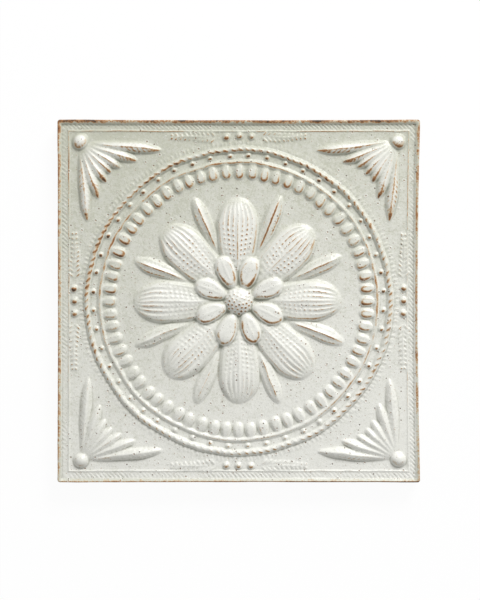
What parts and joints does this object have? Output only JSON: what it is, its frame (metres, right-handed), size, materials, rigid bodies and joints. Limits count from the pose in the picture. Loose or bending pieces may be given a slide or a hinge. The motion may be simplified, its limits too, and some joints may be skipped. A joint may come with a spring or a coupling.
{
  "type": "handmade relief tile",
  "caption": "Square glazed stoneware wall tile with a raised rim and a moulded relief face, bedded on its flat unglazed back.",
  "frame": {"origin": "middle of the flat back, where the tile is bedded", "axes": "+Z out of the face along the thickness, +Y towards the face's upper edge, +X to the viewer's right"},
  "size_m": [0.2, 0.2, 0.0161],
  "materials": {
    "glaze": "satin pale grey-green stoneware glaze, breaking rust brown on ridges and edges, with fine dark specks"
  },
  "bodies": {
    "root": {"tile": "glaze"}
  },
  "joints": []
}
